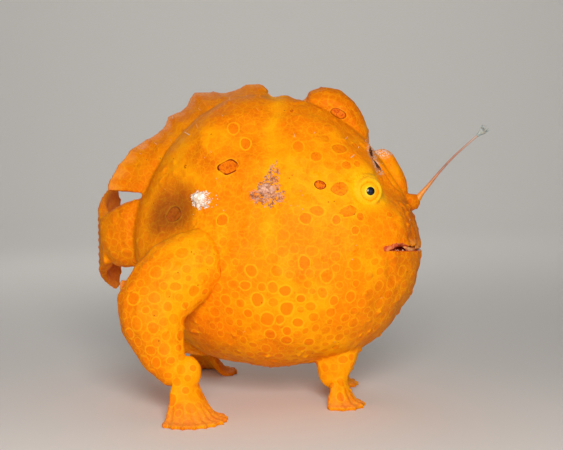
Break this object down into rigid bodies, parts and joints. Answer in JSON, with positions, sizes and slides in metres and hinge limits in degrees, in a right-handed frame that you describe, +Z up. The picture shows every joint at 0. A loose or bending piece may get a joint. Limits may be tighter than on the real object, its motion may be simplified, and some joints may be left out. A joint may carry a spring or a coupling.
{
  "type": "painted frogfish",
  "caption": "Life-size still model of an orange frogfish standing on its paired fins, with a thin lure raised over its mouth.",
  "frame": {"origin": "on the ground under the middle of the whole model, at the level of its soles", "axes": "+X out of the mouth, +Y to the fish's left, +Z up"},
  "size_m": [0.1514, 0.1086, 0.119],
  "materials": {
    "skin": "matt, slightly moist skin, orange with ringed spots",
    "fin_skin": "matt, slightly moist fin skin over low rays",
    "lure_stalk": "thin skin, orange at its root and greyish pink above",
    "lure_bait": "small pale grey tuft",
    "eye": "wet, bright yellow with a black pupil"
  },
  "bodies": {
    "root": {"head": "skin", "lower_jaw": "skin", "torso": "skin", "tail_stem": "skin", "dorsal_spine_third": "skin", "dorsal_spine_second": "skin", "pectoral_arm_right": "skin", "pectoral_arm_left": "skin", "tail_fin": "fin_skin", "dorsal_fin": "fin_skin", "anal_fin": "fin_skin", "pectoral_fin_right": "fin_skin", "pectoral_fin_left": "fin_skin", "pelvic_fin_right": "fin_skin", "pelvic_fin_left": "fin_skin", "lure_rod": "lure_stalk", "lure_bait": "lure_bait", "eye_right": "eye", "eye_left": "eye"}
  },
  "joints": []
}
